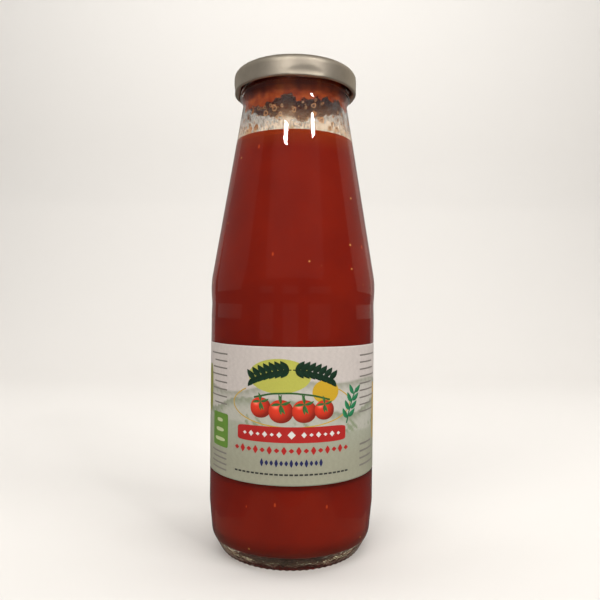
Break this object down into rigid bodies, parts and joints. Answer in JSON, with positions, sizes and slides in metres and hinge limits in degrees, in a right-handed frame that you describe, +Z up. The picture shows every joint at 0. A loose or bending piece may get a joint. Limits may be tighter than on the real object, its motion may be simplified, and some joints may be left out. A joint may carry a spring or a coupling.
{
  "type": "passata bottle",
  "caption": "Full clear glass bottle of tomato passata with a conical shoulder, a wrap-round paper label and a twist-off steel lid.",
  "frame": {"origin": "centre of the ring that the bottle stands on, in the plane it rests on", "axes": "+Z up along the bottle's axis, -Y through the middle of the label's front, +X to the viewer's right"},
  "size_m": [0.0772, 0.0773, 0.222],
  "materials": {
    "glass": "clear, smooth, faintly green at its edges",
    "passata": "wet, dense brownish red with a few flecks",
    "label": "satin coated paper, printed",
    "lid": "satin clear-lacquered tinplate, warm silver",
    "seal": "soft matt sealing compound"
  },
  "bodies": {
    "root": {"glass_bottle": "glass", "passata": "passata", "label": "label", "lid": "lid", "lid_seal": "seal"}
  },
  "joints": []
}
